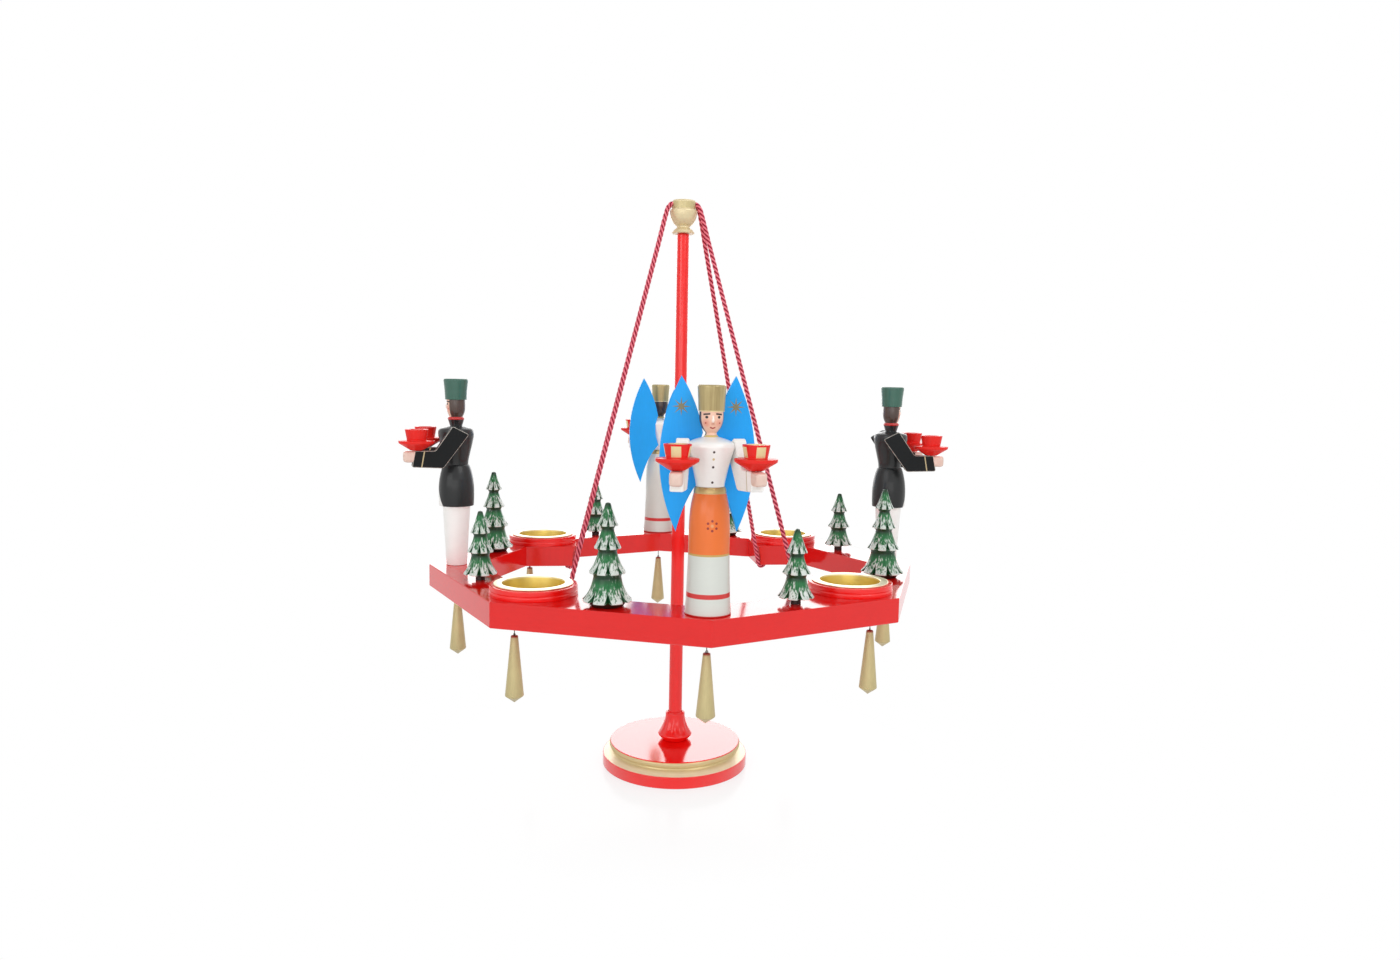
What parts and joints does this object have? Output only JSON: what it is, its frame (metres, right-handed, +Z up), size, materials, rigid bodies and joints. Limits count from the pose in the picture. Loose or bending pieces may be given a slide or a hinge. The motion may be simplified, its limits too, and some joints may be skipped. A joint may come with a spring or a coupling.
{
  "type": "advent candle holder",
  "caption": "Eight-sided wooden candle ring hung by cords from a pole on a round base, with carved angels, miners and firs, tea light inserts, hand cups and hanging icicles.",
  "frame": {"origin": "centre of the base's underside, on the surface that it stands on", "axes": "+Z up along the pole, -Y towards the front angel, +X towards the miner on the viewer's right"},
  "size_m": [0.4012, 0.4012, 0.423],
  "materials": {
    "red_lacquer": "gloss lacquer",
    "gold_paint": "satin gold paint",
    "brass": "satin",
    "cord": "twisted cord",
    "fir_green": "satin paint with white brushed edges",
    "white_lacquer": "gloss lacquer",
    "skin_paint": "satin paint",
    "blue_paint": "satin paint",
    "black_lacquer": "gloss lacquer"
  },
  "bodies": {
    "stand": {"base": "red_lacquer", "pole_collar": "red_lacquer", "pole": "red_lacquer"},
    "carousel": {"finial": "gold_paint", "cord_front": "cord", "cord_back": "cord", "ring_frame": "red_lacquer", "fir_small_1": "fir_green", "fir_large_1": "fir_green", "fir_small_2": "fir_green", "fir_large_2": "fir_green", "fir_small_3": "fir_green", "fir_large_3": "fir_green", "fir_small_4": "fir_green", "fir_large_4": "fir_green", "angel_front_skirt": "white_lacquer", "angel_front_torso": "white_lacquer", "angel_front_head": "skin_paint", "angel_front_arm_left": "white_lacquer", "angel_front_cup_left": "red_lacquer", "angel_front_wing_left": "blue_paint", "angel_front_arm_right": "white_lacquer", "angel_front_cup_right": "red_lacquer", "angel_front_wing_right": "blue_paint", "angel_back_skirt": "white_lacquer", "angel_back_torso": "white_lacquer", "angel_back_head": "skin_paint", "angel_back_arm_left": "white_lacquer", "angel_back_cup_left": "red_lacquer", "angel_back_wing_left": "blue_paint", "angel_back_arm_right": "white_lacquer", "angel_back_cup_right": "red_lacquer", "angel_back_wing_right": "blue_paint", "miner_right_coat": "black_lacquer", "miner_right_torso": "black_lacquer", "miner_right_head": "skin_paint", "miner_right_arm_left": "black_lacquer", "miner_right_cup_left": "red_lacquer", "miner_right_arm_right": "black_lacquer", "miner_right_cup_right": "red_lacquer", "miner_left_coat": "black_lacquer", "miner_left_torso": "black_lacquer", "miner_left_head": "skin_paint", "miner_left_arm_left": "black_lacquer", "miner_left_cup_left": "red_lacquer", "miner_left_arm_right": "black_lacquer", "miner_left_cup_right": "red_lacquer"},
    "insert_front_right": {"insert_front_right": "brass"},
    "insert_back_right": {"insert_back_right": "brass"},
    "insert_back_left": {"insert_back_left": "brass"},
    "insert_front_left": {"insert_front_left": "brass"},
    "icicle_front": {"icicle_front": "gold_paint"},
    "icicle_front_right": {"icicle_front_right": "gold_paint"},
    "icicle_right": {"icicle_right": "gold_paint"},
    "icicle_back_right": {"icicle_back_right": "gold_paint"},
    "icicle_back": {"icicle_back": "gold_paint"},
    "icicle_back_left": {"icicle_back_left": "gold_paint"},
    "icicle_left": {"icicle_left": "gold_paint"},
    "icicle_front_left": {"icicle_front_left": "gold_paint"}
  },
  "joints": [
    {"name": "ring_turn", "type": "hinge", "parent": "stand", "child": "carousel", "pos_m": [0, 0, 0.399], "axis": [0, 0, 1], "continuous": true},
    {"name": "lift_insert_front_right", "type": "slide", "parent": "carousel", "child": "insert_front_right", "axis": [0, 0, 1], "range_m": [0, 0.03]},
    {"name": "lift_insert_back_right", "type": "slide", "parent": "carousel", "child": "insert_back_right", "axis": [0, 0, 1], "range_m": [0, 0.03]},
    {"name": "lift_insert_back_left", "type": "slide", "parent": "carousel", "child": "insert_back_left", "axis": [0, 0, 1], "range_m": [0, 0.03]},
    {"name": "lift_insert_front_left", "type": "slide", "parent": "carousel", "child": "insert_front_left", "axis": [0, 0, 1], "range_m": [0, 0.03]},
    {"name": "swing_icicle_front", "type": "hinge", "parent": "carousel", "child": "icicle_front", "pos_m": [0, -0.163, 0.1393], "axis": [0, -1, 0], "range_deg": [-40, 40]},
    {"name": "swing_icicle_front_right", "type": "hinge", "parent": "carousel", "child": "icicle_front_right", "pos_m": [0.11526, -0.11526, 0.1393], "axis": [0.7071, -0.7071, 0], "range_deg": [-40, 40]},
    {"name": "swing_icicle_right", "type": "hinge", "parent": "carousel", "child": "icicle_right", "pos_m": [0.163, 0, 0.1393], "axis": [1, 0, 0], "range_deg": [-40, 40]},
    {"name": "swing_icicle_back_right", "type": "hinge", "parent": "carousel", "child": "icicle_back_right", "pos_m": [0.11526, 0.11526, 0.1393], "axis": [0.7071, 0.7071, 0], "range_deg": [-40, 40]},
    {"name": "swing_icicle_back", "type": "hinge", "parent": "carousel", "child": "icicle_back", "pos_m": [0, 0.163, 0.1393], "axis": [0, 1, 0], "range_deg": [-40, 40]},
    {"name": "swing_icicle_back_left", "type": "hinge", "parent": "carousel", "child": "icicle_back_left", "pos_m": [-0.11526, 0.11526, 0.1393], "axis": [-0.7071, 0.7071, 0], "range_deg": [-40, 40]},
    {"name": "swing_icicle_left", "type": "hinge", "parent": "carousel", "child": "icicle_left", "pos_m": [-0.163, 0, 0.1393], "axis": [-1, 0, 0], "range_deg": [-40, 40]},
    {"name": "swing_icicle_front_left", "type": "hinge", "parent": "carousel", "child": "icicle_front_left", "pos_m": [-0.11526, -0.11526, 0.1393], "axis": [-0.7071, -0.7071, 0], "range_deg": [-40, 40]}
  ]
}
